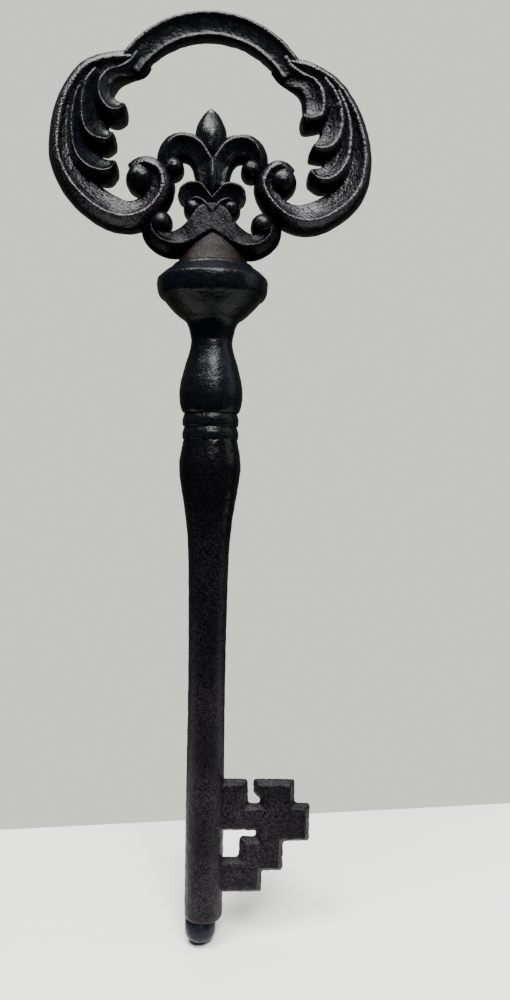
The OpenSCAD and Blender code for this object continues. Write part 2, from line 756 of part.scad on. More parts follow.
tip();
shank();
bit();
reed(reeds_z);  // lower_reed
reed(reeds_z + reed_h);  // upper_reed
baluster();
collar();
bow_root();
left_foot_scroll();
right_foot_scroll();
left_foot_ball();
right_foot_ball();
left_small_leaf();
right_small_leaf();
left_small_ball();
right_small_ball();
bud();
left_petal();
right_petal();
left_petal_ball();
right_petal_ball();
centre_petal();
left_lobe();
right_lobe();
left_volute_ball();
right_volute_ball();
left_leaf_top();
left_leaf_middle();
left_leaf_low();
right_leaf_top();
right_leaf_middle();
right_leaf_low();
arch();
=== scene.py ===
# Looks of the decorative skeleton key: near-black cast iron with a grainy brown shank and bit,
# standing on its tip on a pale floor.
import math

import bmesh
import bpy
from mathutils import Matrix, Vector, noise


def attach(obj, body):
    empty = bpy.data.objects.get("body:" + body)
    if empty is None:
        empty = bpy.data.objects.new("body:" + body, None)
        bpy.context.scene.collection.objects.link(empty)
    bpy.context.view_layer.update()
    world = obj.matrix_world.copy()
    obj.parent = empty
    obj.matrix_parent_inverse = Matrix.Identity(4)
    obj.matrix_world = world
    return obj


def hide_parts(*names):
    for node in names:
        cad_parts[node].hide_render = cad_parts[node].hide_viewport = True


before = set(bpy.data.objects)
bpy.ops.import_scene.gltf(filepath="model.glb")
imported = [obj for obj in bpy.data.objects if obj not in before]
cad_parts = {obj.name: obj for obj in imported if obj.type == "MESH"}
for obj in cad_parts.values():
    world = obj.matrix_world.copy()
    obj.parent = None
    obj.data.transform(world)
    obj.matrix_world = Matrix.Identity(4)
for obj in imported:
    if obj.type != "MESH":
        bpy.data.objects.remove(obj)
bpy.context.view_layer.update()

MM = 0.001
# Heights in millimetres: the collar's top, and the level that the shank's heights are counted
# from, both from the hanging point inside the arch
BOW = -92.6
LOW = -382.6
# The tip's end over that level, and how far the tip stands aside of the shank's axis
TIP_END = 1.5
TIP_ASIDE = -1.2
# How far the flower over the cone stands aside of that axis, and how thick it is
FLOWER_ASIDE = -0.75
FLOWER_THICK = 16.0


def flow(points, steps):
    """A smooth line through a few points of any size."""
    out = []
    n = len(points)
    for i in range(n - 1):
        p = [points[max(0, min(n - 1, i + k))] for k in (-1, 0, 1, 2)]
        for k in range(steps):
            t = k / steps
            out.append([
                0.5 * (2 * b + (c - a) * t + (2 * a - 5 * b + 4 * c - d) * t * t
                       + (3 * b - a - 3 * c + d) * t ** 3)
                for a, b, c, d in zip(*p)
            ])
    out.append(list(points[-1]))
    return out


def grain(v, seed, amount, scale):
    """Uneven surface of sand-cast iron, in millimetres, at a point in millimetres."""
    return amount * noise.noise(Vector((v.x / scale + seed, v.y / scale - seed, v.z / scale)))


def roughen(bm, seed, amount, scale):
    """Moves the surface out and in by slow grain and by finer, weaker grain."""
    bmesh.ops.recalc_face_normals(bm, faces=bm.faces)
    bm.normal_update()
    for v in bm.verts:
        slow = grain(v.co, seed, amount, scale)
        fine = grain(v.co, seed + 7, amount * 0.4, scale / 3)
        v.co = v.co + v.normal * (slow + fine)


def finish_piece(name, bm, finish, nodes):
    """Turns a mesh drawn in millimetres into a finished piece on the key's body."""
    bmesh.ops.remove_doubles(bm, verts=bm.verts, dist=0.001)
    bmesh.ops.recalc_face_normals(bm, faces=bm.faces)
    bmesh.ops.scale(bm, vec=(MM, MM, MM), verts=bm.verts)
    mesh = bpy.data.meshes.new(name)
    bm.to_mesh(mesh)
    bm.free()
    for face in mesh.polygons:
        face.use_smooth = True
    piece = bpy.data.objects.new(name, mesh)
    bpy.context.scene.collection.objects.link(piece)
    piece.data.materials.append(finish)
    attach(piece, "root")
    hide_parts(*nodes)
    return piece


# Iron finishes

# Noise values between which the light spots of the grain come in, and the slow patches of them
SPOTS_FROM = 0.44
SPOTS_TO = 0.60
PATCHES_FROM = 0.35
PATCHES_TO = 0.65
# Least share of the spots: in the slow patches, and where the paint is whole and where side walls get painted
# shade
PATCH_LEAST = 0.35
PAINT_AND_SHADE_LEAST = 0.15
# Size of the slow patches, in turns of noise per metre
PATCH_SCALE = 40.0
# Noise values of the lumps between which the shine changes, and how far it goes to both sides
LUMPS_FROM = 0.3
LUMPS_TO = 0.7
SHINIER = 0.08
DULLER = 0.12
# Bare iron is duller than paint
IRON_DULLNESS = 0.14


def mottle(tree, place, scale, detail, roughness=0.5):
    """Noise on the piece's own coordinates."""
    node = tree.nodes.new("ShaderNodeTexNoise")
    node.inputs["Scale"].default_value = scale
    node.inputs["Detail"].default_value = detail
    node.inputs["Roughness"].default_value = roughness
    tree.links.new(place.outputs["Object"], node.inputs["Vector"])
    return node.outputs["Fac"]


def ramp(tree, source, low, high, start=0.0, end=1.0, style="LINEAR"):
    """Takes the source from low and high to start and end."""
    node = tree.nodes.new("ShaderNodeMapRange")
    node.interpolation_type = style
    for label, value in (("From Min", low), ("From Max", high), ("To Min", start), ("To Max", end)):
        node.inputs[label].default_value = value
    tree.links.new(source, node.inputs["Value"])
    return node.outputs[0]


def reckon(tree, operation, *terms):
    """One sum on numbers and sockets."""
    node = tree.nodes.new("ShaderNodeMath")
    node.operation = operation
    for put, term in zip(node.inputs, terms):
        if isinstance(term, float):
            put.default_value = term
        else:
            tree.links.new(term, put)
    return node.outputs[0]


def uneven(tree, height, depth):
    """A bump of full strength from a height."""
    node = tree.nodes.new("ShaderNodeBump")
    node.inputs["Strength"].default_value = 1.0
    node.inputs["Distance"].default_value = depth
    tree.links.new(height, node.inputs["Height"])
    return node


def wear_and_side_shade(tree, place, bare_and_shade):
    """How far the iron shows, as worn paint and as painted shade, from the least share to 1. It holds X or Z
    with two places in millimetres, or front with two shares of facing the front or back: first where the mask
    is lowest, then where it is whole."""
    if not bare_and_shade:
        everywhere = tree.nodes.new("ShaderNodeValue")
        everywhere.outputs[0].default_value = 1.0
        return everywhere.outputs[0]
    along, least_at, most_at = bare_and_shade
    apart = tree.nodes.new("ShaderNodeSeparateXYZ")
    # Front: painted shade on side walls, whose normals turn away from the front and back; faces to the front
    # or back keep the whole speckle.
    if along == "front":
        tree.links.new(place.outputs["Normal"], apart.inputs[0])
        measure = reckon(tree, "ABSOLUTE", apart.outputs["Y"])
        return ramp(tree, measure, least_at, most_at, PAINT_AND_SHADE_LEAST, 1.0, "SMOOTHSTEP")
    # Along Z the paint wears to bare iron lower down; along X the mask is whole in a middle band and lowest
    # to both sides.
    tree.links.new(place.outputs["Object"], apart.inputs[0])
    measure = apart.outputs[along]
    if along == "X":
        measure = reckon(tree, "ABSOLUTE", measure)
    return ramp(tree, measure, least_at * MM, most_at * MM, PAINT_AND_SHADE_LEAST, 1.0, "SMOOTHSTEP")


def iron(name, dark, light, rough, gloss, grain_size, grain_depth, lump_size=3.0, lump_depth=0.25, bare_and_shade=None):
    """Painted cast iron: two tones, sand grain and slow lumps, with sizes in millimetres. The last argument
    masks the light tone as worn paint and as painted shade on side walls.
    """
    material = bpy.data.materials.new(name)
    material.use_nodes = True
    tree = material.node_tree
    links = tree.links
    shader = tree.nodes["Principled BSDF"]
    place = tree.nodes.new("ShaderNodeTexCoord")
    fine = mottle(tree, place, 1.0 / (grain_size * MM), 3.0, 0.6)
    lumps = mottle(tree, place, 1.0 / (lump_size * MM), 2.0)
    slow = mottle(tree, place, PATCH_SCALE, 3.0)
    wear_and_shade = wear_and_side_shade(tree, place, bare_and_shade)

    spots = ramp(tree, fine, SPOTS_FROM, SPOTS_TO)
    patches = ramp(tree, slow, PATCHES_FROM, PATCHES_TO, PATCH_LEAST)
    tone = tree.nodes.new("ShaderNodeMix")
    tone.data_type = "RGBA"
    tone.inputs["A"].default_value = (*dark, 1.0)
    tone.inputs["B"].default_value = (*light, 1.0)
    # The light spots follow the mask: fewer where the paint is whole, and fewer on side walls as painted
    # shade.
    links.new(reckon(tree, "MULTIPLY", reckon(tree, "MULTIPLY", spots, patches), wear_and_shade), tone.inputs["Factor"])
    links.new(tone.outputs["Result"], shader.inputs["Base Color"])

    shine = ramp(tree, lumps, LUMPS_FROM, LUMPS_TO, max(rough - SHINIER, 0.0), rough + DULLER)
    links.new(reckon(tree, "MULTIPLY_ADD", wear_and_shade, IRON_DULLNESS, shine), shader.inputs["Roughness"])
    # With front, the gloss also falls on side walls: painted shade in the reflection.
    if bare_and_shade and bare_and_shade[0] == "front":
        links.new(reckon(tree, "MULTIPLY", wear_and_shade, gloss), shader.inputs["Specular IOR Level"])
    else:
        shader.inputs["Specular IOR Level"].default_value = gloss

    small = uneven(tree, fine, grain_depth * MM)
    links.new(wear_and_shade, small.inputs["Strength"])
    large = uneven(tree, lumps, lump_depth * MM)
    links.new(small.outputs["Normal"], large.inputs["Normal"])
    links.new(large.outputs["Normal"], shader.inputs["Normal"])
    return material


bow_black = iron("bow_black", (0.0012, 0.0014, 0.0022), (0.0070, 0.0068, 0.0088), 0.08, 0.21, 0.8, 0.20)
# bow_grainy and foot_grainy paint shade on side walls: less light speckle and less gloss where the surface
# faces sideways.
bow_grainy = iron("bow_grainy", (0.0010, 0.0011, 0.0020), (0.0240, 0.0205, 0.0245), 0.07, 0.54, 1.1, 0.66,
                  lump_size=2.4, lump_depth=0.40, bare_and_shade=("front", 0.30, 0.80))
foot_grainy = iron("foot_grainy", (0.0006, 0.0006, 0.0012), (0.0050, 0.0043, 0.0060), 0.04, 0.12, 0.8, 0.38,
                   bare_and_shade=("front", 0.30, 0.80))
turned_black = iron("turned_black", (0.0016, 0.0019, 0.0030), (0.0056, 0.0060, 0.0084), 0.06, 0.12, 0.8, 0.17)
shank_brown = iron("shank_brown", (0.0010, 0.0010, 0.0018), (0.0290, 0.0245, 0.0300), 0.18, 0.10, 0.65, 0.32,
                   bare_and_shade=("Z", LOW + 212, LOW + 60))
# Brown speckle within 7.5 mm of the middle in X, fading to darker from 12.5 mm out on both sides.
cone_brown_band = iron("cone_brown_band", (0.0024, 0.0016, 0.0015), (0.0230, 0.0140, 0.0120), 0.26, 0.12, 0.8, 0.40,
                 bare_and_shade=("X", 12.5, 7.5))
tip_blue = iron("tip_blue", (0.004, 0.006, 0.009), (0.008, 0.011, 0.016), 0.16, 0.14, 1.2, 0.06)


# Turned pieces


def turned(name, outline, finish, nodes, seed=0.0, amount=0.12, scale=5.0, steps=128, aside=0.0):
    """Spins an outline of radius and height over LOW round the shank's axis, or a little aside of it."""
    bm = bmesh.new()
    verts = [bm.verts.new((r, 0.0, LOW + z)) for r, z in outline]
    edges = [bm.edges.new(pair) for pair in zip(verts, verts[1:])]
    bmesh.ops.spin(bm, geom=verts + edges, cent=(0, 0, 0), axis=(0, 0, 1), angle=math.tau,
                   steps=steps, use_merge=True)
    bmesh.ops.remove_doubles(bm, verts=bm.verts, dist=0.01)
    bmesh.ops.holes_fill(bm, edges=[e for e in bm.edges if e.is_boundary])
    roughen(bm, seed, amount, scale)
    bmesh.ops.translate(bm, vec=(aside, 0, 0), verts=bm.verts)
    return finish_piece(name, bm, finish, nodes)


# Scrolls and leaves


def section(width, half, slope, rim_slope, edge_slope):
    """Half of a scroll's section, rim to inner edge, as (distance from the rim, depth)."""
    bead = min(1.1, 0.2 * width)
    dip = min(slope * width, 0.75 * half)
    return [
        (-rim_slope, 0.0),
        (-rim_slope * 0.985, 0.12 * half),
        (-rim_slope * 0.90, 0.34 * half),
        (-rim_slope * 0.72, 0.58 * half),
        (-rim_slope * 0.42, 0.80 * half),
        (-rim_slope * 0.16, 0.93 * half),
        (0.0, 0.985 * half),
        (0.45 * bead, half),
        (0.95 * bead, half - 0.10 * dip),
        (0.20 * width + 0.4 * bead, half - 0.34 * dip),
        (0.46 * width, half - 0.64 * dip),
        (0.70 * width, half - 0.86 * dip),
        (0.90 * width, half - 0.97 * dip),
        (width, half - 1.04 * dip),
        (width + 0.55 * edge_slope, (half - dip) * 0.72),
        (width + edge_slope, (half - dip) * 0.3),
    ]


def ring_of(bm, points):
    """A closed ring of edges through the points."""
    verts = [bm.verts.new(p) for p in points]
    edges = [bm.edges.new((verts[i - 1], verts[i])) for i in range(len(verts))]
    return verts, edges


def grow(bm, verts, edges, points):
    """Extrudes a ring of edges and moves the new ring to the points."""
    grown = bmesh.ops.extrude_edge_only(bm, edges=edges)["geom"]
    made = {g for g in grown if isinstance(g, bmesh.types.BMVert)}
    ahead = [next(e.other_vert(v) for e in v.link_edges if e.other_vert(v) in made) for v in verts]
    for v, p in zip(ahead, points):
        v.co = p
    return ahead, [bm.edges.get((ahead[i - 1], ahead[i])) for i in range(len(ahead))]


def loft(rings):
    """A closed mesh through a row of rings."""
    bm = bmesh.new()
    verts, edges = ring_of(bm, rings[0])
    bmesh.ops.contextual_create(bm, geom=edges)
    for ring in rings[1:]:
        verts, edges = grow(bm, verts, edges, ring)
    bmesh.ops.contextual_create(bm, geom=edges)
    bmesh.ops.recalc_face_normals(bm, faces=bm.faces)
    return bm


def rounded_end(before, last, reach):
    """Rings that draw the last ring out to a blunt end."""
    centre = sum(last, Vector()) / len(last)
    ahead = centre - sum(before, Vector()) / len(before)
    ahead.normalize()
    out = []
    for a in (25, 50, 70, 84):
        t = math.radians(a)
        out.append([centre + (p - centre) * math.cos(t) + ahead * (reach * math.sin(t)) for p in last])
    return out


def scroll_mesh(stations, thick, slope, rim_slope, edge_slope, tip_out, steps=6):
    """Sweeps the section along stations: rim x and z, inner x and z, share of the thickness and,
    where they aren't 1, shares of the rim's slope and of the face's slope."""
    rings = []
    for rx, rz, ex, ez, share, *spread in flow(stations, steps):
        rim = Vector((rx, 0, rz + BOW))
        across = Vector((ex, 0, ez + BOW)) - rim
        width = max(across.length, 0.05)
        across.normalize()
        rim_share = spread[0] if spread else 1
        face_share = spread[1] if len(spread) > 1 else 1
        front = section(width, share * thick / 2, slope * face_share, rim_slope * rim_share, edge_slope)
        ring = [rim + across * c + Vector((0, -y, 0)) for c, y in front]
        ring += [rim + across * c + Vector((0, y, 0)) for c, y in reversed(front[1:])]
        rings.append(ring)
    return loft(rings + rounded_end(rings[-2], rings[-1], tip_out))


def scroll(name, stations, thick, slope, rim_slope, edge_slope, tip_out, nodes,
           seed=0.0, mirrored=False, aside=0.0, finish=bow_black):
    """One scroll or leaf, as a finished piece."""
    bm = scroll_mesh(stations, thick, slope, rim_slope, edge_slope, tip_out)
    if mirrored:
        bmesh.ops.scale(bm, vec=(-1, 1, 1), verts=bm.verts)
    bmesh.ops.translate(bm, vec=(aside, 0, 0), verts=bm.verts)
    roughen(bm, seed, 0.16, 3.0)
    return finish_piece(name, bm, finish, nodes)


def knob(name, x, z, r, y, nodes, seed=0.0):
    """A ball drawn out to both faces."""
    outline = [(0.0, -y)]
    for k in range(1, 13):
        a = math.radians(90 * k / 12)
        outline.append((r * math.sin(a) ** 0.85, -y * math.cos(a) ** 0.85))
    outline += [(c, -d) for c, d in reversed(outline[:-1])]
    bm = bmesh.new()
    verts = [bm.verts.new((c, d, 0.0)) for c, d in outline]
    edges = [bm.edges.new(pair) for pair in zip(verts, verts[1:])]
    bmesh.ops.spin(bm, geom=verts + edges, cent=(0, 0, 0), axis=(0, 1, 0), angle=math.tau,
                   steps=40, use_merge=True)
    bmesh.ops.remove_doubles(bm, verts=bm.verts, dist=0.01)
    bmesh.ops.translate(bm, vec=(x, 0, BOW + z), verts=bm.verts)
    roughen(bm, seed, 0.15, 2.5)
    return finish_piece(name, bm, bow_black, nodes)


def bud_form(name, rows, aside, nodes, seed=0.0):
    """A bud or petal that is rounded across; rows hold height, half width and half depth."""
    turn = [math.tau * k / 28 for k in range(28)]
    rings = [
        [(aside + w * math.cos(a), -d * math.sin(a), z + BOW) for a in turn]
        for z, w, d in flow(rows, 5)
    ]
    bm = loft(rings)
    roughen(bm, seed, 0.14, 3.0)
    return finish_piece(name, bm, bow_black, nodes)


# Tip, shank, reeds, baluster, collar and cone


def rounded(points, steps):
    """An outline that flows through the points."""
    return [tuple(p) for p in flow([list(p) for p in points], steps)]


TIP_RADIUS = 6.6
TIP_DOME = 5.3
tip_line = [(0.0, TIP_END)]
for a in range(8, 91, 8):
    turn = math.radians(a)
    tip_line.append((TIP_RADIUS * math.sin(turn), TIP_END + TIP_DOME * (1 - math.cos(turn))))
tip_line += [(TIP_RADIUS, 7.6), (TIP_RADIUS, 11.9), (6.3, 12.05), (6.3, 12.3), (0.0, 12.3)]
turned("tip_dome", tip_line, tip_blue, ["tip"], seed=3.0, amount=0.10, scale=6.0,
       aside=TIP_ASIDE)

shank_line = [(0.0, 12.3)] + rounded([
    (7.0, 12.3), (7.5, 12.6), (7.9, 13.4), (8.1, 14.6), (8.15, 17.0), (8.15, 24.0)
], 4)
shank_line += rounded([(8.15, 26), (8.17, 45), (8.05, 75), (7.88, 105), (7.98, 128), (8.1, 140)], 12)
shank_line += rounded([
    (8.2, 145), (8.34, 155), (8.56, 165), (8.92, 173), (9.3, 178), (9.9, 183.4), (10.62, 188.4),
    (11.5, 193.5), (12.25, 198.4), (12.85, 203), (13.03, 206), (12.87, 208.6), (12.45, 211.3),
    (11.95, 213.8), (11.55, 216.2), (11.3, 217.1)
], 5)
shank_line += [(0.0, 217.1)]
turned("shank_rod", shank_line, shank_brown, ["shank"], seed=11.0, amount=0.16, scale=4.0)


def reed_line(low, high):
    """A reed that leans in at its top."""
    return [(0.0, low)] + rounded([
        (11.35, low), (11.7, low + 0.4), (11.85, low + 1.4), (11.85, low + 2.8), (11.7, high - 2.1),
        (11.3, high - 0.8), (11.0, high)
    ], 4) + [(0.0, high)]


REED_FOOT = 217.0
REED_HEIGHT = 5.7
for name, node, low, seed in (("lower_reed_ring", "lower_reed", REED_FOOT, 21.0),
                              ("upper_reed_ring", "upper_reed", REED_FOOT + REED_HEIGHT, 23.0)):
    turned(name, reed_line(low, low + REED_HEIGHT), turned_black, [node], seed=seed, scale=4.0)

baluster_line = [(0.0, 228.4)] + rounded([
    (11.6, 228.4), (12.2, 229.3), (12.85, 231.4), (13.25, 234.2), (13.38, 236.8), (13.15, 239.4),
    (12.8, 241.7), (12.2, 244), (11.5, 246.6), (10.75, 249.2), (9.97, 251.7), (9.3, 254.2), (8.86, 256.6),
    (8.66, 258.4)
], 5) + [(0.0, 258.4)]
turned("baluster_vase", baluster_line, turned_black, ["baluster"], seed=31.0, scale=6.0)

collar_line = [(0.0, 258.4)] + rounded([
    (8.66, 258.4), (8.75, 259.6), (9.3, 261.8), (9.95, 264.2), (11.3, 266.6), (13.1, 268.0), (14.9, 269.5),
    (17.3, 271.8), (19.4, 274.1), (20.7, 275.6)
], 5)
collar_line += rounded([
    (21.6, 276.0), (22.3, 276.9), (22.9, 278.6), (23.18, 281.0), (23.2, 282.6), (23.05, 283.6), (22.6, 284.3),
    (21.6, 285.2), (20.4, 286.3), (19.2, 287.2), (18.1, 287.9), (17.5, 288.2), (17.2, 288.6), (16.8, 289.3),
    (16.2, 289.8), (15.6, 290.0)
], 5) + [(0.0, 290.0)]
turned("collar_rim", collar_line, turned_black, ["collar"], seed=41.0, amount=0.18, scale=7.0,
       steps=160)

cone_line = [(0.0, 289.8)] + rounded([
    (15.3, 289.8), (14.9, 290.6), (12.9, 293.6), (10.2, 297.2), (7.8, 301), (5.6, 305), (4.2, 309)
], 4) + [(0.0, 309)]
turned("cone_root", cone_line, cone_brown_band, ["bow_root"], seed=51.0, amount=0.2, scale=4.0)

# Bit


def drawn_in(outline, by):
    """The outline with every side moved inwards; the points run anticlockwise."""
    out = []
    for i, (x, z) in enumerate(outline):
        (x0, z0), (x1, z1) = outline[i - 1], outline[(i + 1) % len(outline)]
        before = Vector((x - x0, z - z0)).normalized()
        after = Vector((x1 - x, z1 - z)).normalized()
        inward = Vector((-before.y - after.y, before.x + after.x)).normalized()
        reach = by / max(0.4, inward.dot(Vector((-before.y, before.x))))
        out.append((x + inward.x * reach, z + inward.y * reach))
    return out


def round_corners(outline, radius):
    """The outline with an arc of four points at every corner."""
    out = []
    for i, (x, z) in enumerate(outline):
        corner = Vector((x, z))
        before = Vector(outline[i - 1]) - corner
        after = Vector(outline[(i + 1) % len(outline)]) - corner
        reach = min(radius, 0.4 * before.length, 0.4 * after.length)
        start = corner + before.normalized() * reach
        end = corner + after.normalized() * reach
        for t in (0.0, 0.33, 0.67, 1.0):
            out.append(start * (1 - t) ** 2 + corner * (2 * t * (1 - t)) + end * t * t)
    return out


def bit_plate():
    """The bit's middle outline, drawn in towards both faces."""
    outline = [
        (5.0, 23.0), (24.85, 23.0), (24.85, 32.3), (33.95, 32.3), (33.95, 45.0), (45.2, 45.2), (45.2, 61.6),
        (38.5, 61.8), (38.5, 72.0), (20.75, 72.2), (20.75, 66.2), (23.55, 63.8), (23.55, 61.7), (18.55, 61.7),
        (18.25, 72.1), (5.0, 72.4),
        (5.0, 50.0), (22.0, 49.8), (22.0, 47.2), (15.05, 47.2), (14.85, 38.3), (5.0, 38.2)
    ]
    steps = [(2.4, 3.0, 0.7), (2.0, 2.85, 0.8), (1.1, 1.7, 1.1), (0.35, 0.7, 1.4), (0.0, 0.2, 1.5)]
    rings = []
    for by, y, radius in steps + [(by, -y, radius) for by, y, radius in reversed(steps)]:
        rings.append([Vector((x, y, LOW + z)) for x, z in round_corners(drawn_in(outline, by), radius)])
    bm = loft(rings)
    bmesh.ops.triangulate(bm, faces=[f for f in bm.faces if len(f.verts) > 4])
    return bm


def cut_fine(bm, longest):
    """Splits long edges until the mesh is fine enough for an uneven surface."""
    for _ in range(7):
        long = [e for e in bm.edges if e.calc_length() > longest]
        if not long:
            break
        bmesh.ops.subdivide_edges(bm, edges=long, cuts=1, use_grid_fill=True)
        bmesh.ops.triangulate(bm, faces=[f for f in bm.faces if len(f.verts) > 4])


bit = bit_plate()
bmesh.ops.triangulate(bit, faces=bit.faces)
cut_fine(bit, 0.9)
roughen(bit, 61.0, 0.26, 1.6)
finish_piece("bit_plate", bit, shank_brown, ["bit"])

# Arch


# The arch's middle over the collar's top and beside the axis, and the half of its span in degrees
ARCH_ASIDE = -1.95
ARCH_UP = 58.0
ARCH_HALF_SPAN = 58


def arch_band():
    """The arch's section, as radius and depth, spun from end to end."""
    front = [
        (45.2, 0.0), (45.1, 2.4), (44.8, 4.4), (44.4, 5.6), (43.8, 6.2), (43.0, 6.2), (42.4, 5.7),
        (41.9, 5.1), (41.0, 4.75), (39.0, 4.1), (37.0, 3.45), (36.4, 3.5), (35.9, 3.75), (35.4, 3.7),
        (35.0, 3.2), (34.7, 2.0), (34.6, 0.0)
    ]
    ring = [(r, -y) for r, y in front] + [(r, y) for r, y in reversed(front[1:-1])]
    bm = bmesh.new()
    verts, edges = ring_of(bm, [(r, y, 0.0) for r, y in ring])
    turn_back = Matrix.Rotation(math.radians(ARCH_HALF_SPAN - 90), 3, "Y")
    bmesh.ops.rotate(bm, verts=bm.verts, cent=(0, 0, 0), matrix=turn_back)
    bmesh.ops.spin(bm, geom=verts + edges, cent=(0, 0, 0), axis=(0, 1, 0),
                   angle=math.radians(-2 * ARCH_HALF_SPAN), steps=90)
    bmesh.ops.holes_fill(bm, edges=[e for e in bm.edges if e.is_boundary])
    bmesh.ops.translate(bm, vec=(ARCH_ASIDE, 0, BOW + ARCH_UP), verts=bm.verts)
    roughen(bm, 71.0, 0.22, 2.6)
    return finish_piece("bow_arch", bm, bow_black, ["arch"])


arch_band()

# Lobes and leaves: the points run from the arch down and round to the tip

left_lobe_line = [
    [-34.5, 82.7, -33.4, 79.2, 0.6], [-38.8, 82.2, -38.1, 78.1, 0.68], [-45.4, 80.7, -43.4, 76.5, 0.84],
    [-52.7, 77, -49.3, 72.7, 0.96], [-58.3, 69.8, -53.9, 66.7, 1], [-62.2, 60.6, -57.4, 59.2, 1],
    [-63.8, 51.1, -58.8, 50.4, 1], [-64, 43.6, -58.4, 44, 1], [-62.3, 37.1, -56.2, 38.6, 1],
    [-57.9, 29.4, -51.7, 33.9, 1], [-51.6, 23, -47.1, 30.1, 1], [-43.9, 18.2, -41.5, 26.7, 1],
    [-35.1, 16.7, -35.5, 24.4, 1], [-27.5, 19.5, -30.7, 25.8, 1], [-22.5, 25, -27.5, 28.6, 1],
    [-20.5, 31.2, -26.1, 32.2, 1], [-22.3, 36.8, -27.1, 34.7, 0.96], [-27, 39.5, -28.9, 36, 0.88],
    [-30.8, 39.3, -30.3, 36, 0.74], [-33.1, 37.3, -31.5, 35.4, 0.6]
]
right_lobe_line = [
    [30.9, 83.2, 30.1, 79.5, 0.6], [35.4, 82.3, 34.9, 78.2, 0.68], [41, 79.9, 39.1, 75.9, 0.84],
    [48.5, 75.2, 44.9, 71.1, 0.96], [54.3, 68.5, 49.7, 65.1, 1], [58.7, 60.2, 53.5, 57.7, 1],
    [61.5, 51.2, 55.6, 49.7, 1], [62.4, 42.7, 56, 42.6, 1], [60.9, 33.7, 54.3, 36.1, 1],
    [57.1, 27, 50.9, 32.1, 1], [51.5, 22.1, 46.3, 29.1, 1], [44.1, 18.1, 41.5, 26.7, 1],
    [36.2, 17.3, 35.1, 25, 1], [28.9, 20, 30.3, 26, 1], [22.9, 25.6, 27.2, 28.6, 1],
    [20, 32, 25.3, 32.2, 1], [22, 37.4, 25.7, 35, 0.96], [26.2, 40.4, 27.3, 36.8, 0.88],
    [29.4, 39.8, 28.5, 36.6, 0.74], [31.4, 38, 29.7, 35.8, 0.6]
]
left_low_line = [
    [-55.5, 68.6, -52.4, 66.2, 0.96], [-57.5, 62.1, -52.9, 60.7, 1], [-58.4, 54.9, -52, 55.2, 1],
    [-58, 47.6, -51.2, 50.2, 1], [-56.5, 41.8, -49.2, 46.7, 1], [-53.3, 37.7, -47.4, 43.7, 1],
    [-49.2, 35.4, -46.4, 41.5, 1], [-45, 34.7, -44, 40.6, 1], [-42.1, 35.6, -42, 40.1, 1],
    [-40.7, 37.9, -40.9, 39.5, 0.98]
]
left_middle_line = [
    [-48.5, 76.2, -45.9, 73.7, 0.94], [-52.3, 71.2, -46.7, 69.2, 1], [-54.1, 65, -46.1, 64.3, 1],
    [-54.3, 58.2, -45.3, 60.1, 1], [-53.3, 52.7, -44.6, 57.7, 1], [-50.8, 49.2, -44.6, 55.3, 1],
    [-47.2, 47.5, -44.4, 53.1, 1], [-44, 47.2, -43.2, 51.9, 1], [-41.8, 49.1, -42, 50.9, 0.98]
]
left_top_line = [
    [-32.3, 85.1, -27.3, 80.8, 0.58], [-35.7, 80.6, -30.2, 77, 0.6], [-39.7, 78.1, -35.3, 75.5, 0.68],
    [-43.7, 75.9, -39.7, 74.1, 0.86], [-46.7, 71.5, -42.3, 71.1, 1], [-47.5, 67.1, -43.1, 68.3, 1],
    [-46.4, 63.2, -42.3, 66.3, 1], [-43.7, 59.9, -40.7, 64.7, 1], [-40.2, 59, -38.9, 63.5, 1],
    [-37.3, 60.7, -37.3, 62.7, 0.98]
]
right_low_line = [
    [50.7, 71.1, 47.6, 68.6, 0.96], [54.1, 63.9, 49.3, 62.1, 1], [56, 55.9, 50, 55.6, 1],
    [56, 48, 49.2, 50.5, 1], [54.2, 41.1, 47.6, 46.7, 1], [50.9, 36.5, 46, 43.3, 1],
    [46.9, 34.5, 44.8, 40.9, 1], [43.1, 34.5, 42.4, 39.9, 1], [40.1, 37, 40.4, 39.1, 0.98]
]
right_middle_line = [
    [44.7, 76.1, 41.5, 73.6, 0.94], [49.1, 70.5, 43.5, 68.5, 1], [51.7, 64.1, 43.9, 63.1, 1],
    [52.5, 57.5, 43.9, 59.5, 1], [51, 51.5, 44.6, 56.1, 1], [48, 47.8, 44.1, 53.5, 1],
    [44.2, 46.9, 42.8, 51.5, 1], [40.8, 47.5, 41.4, 49.5, 0.98]
]
right_top_line = [
    [28.7, 85.4, 23.8, 81, 0.58], [32.2, 80.9, 26.8, 77.2, 0.6], [36.6, 77.9, 30.5, 74.8, 0.7],
    [40.3, 75.5, 34.7, 72.8, 0.88], [43.5, 71.3, 36.7, 69.7, 1], [44.7, 66.1, 37.3, 66.1, 1],
    [44.1, 61.1, 37.5, 63.5, 1], [41.1, 59.1, 37.3, 61.9, 1], [37.1, 59, 36.5, 60.9, 0.98]
]

for side, line, rim_slope, seed in (
    ("left", left_lobe_line, 4.4, 101.0),
    ("right", right_lobe_line, 3.6, 103.0)
):
    scroll(side + "_lobe_scroll", line, 20.0, 0.8, rim_slope, 1.0, 0.6, [side + "_lobe"],
           seed=seed, finish=bow_grainy)
leaf_places = (("low", "3", 19.2), ("middle", "2", 19.6), ("top", "1", 20.0))
# The right leaves take the lighter, glossier grainy finish and the left leaves the darker black one: partly
# coarser grain, and partly painted light on the right side and painted shade on the left.
for side, lines, seed, finish in (
    ("left", (left_low_line, left_middle_line, left_top_line), 105.0, bow_black),
    ("right", (right_low_line, right_middle_line, right_top_line), 111.0, bow_grainy)
):
    for (height, number, thick), line in zip(leaf_places, lines):
        scroll(side + "_leaf_" + number, line, thick, 0.7, 3.2, 1.0, 1.4, [side + "_leaf_" + height],
               seed=seed, finish=finish)
        seed += 2
knob("left_volute_knob", -30.5, 33.9, 6.1, 10.2, ["left_volute_ball"], seed=117.0)
knob("right_volute_knob", 28.3, 34.4, 6.1, 10.2, ["right_volute_ball"], seed=119.0)

# Flower over the cone; the left side mirrors the right

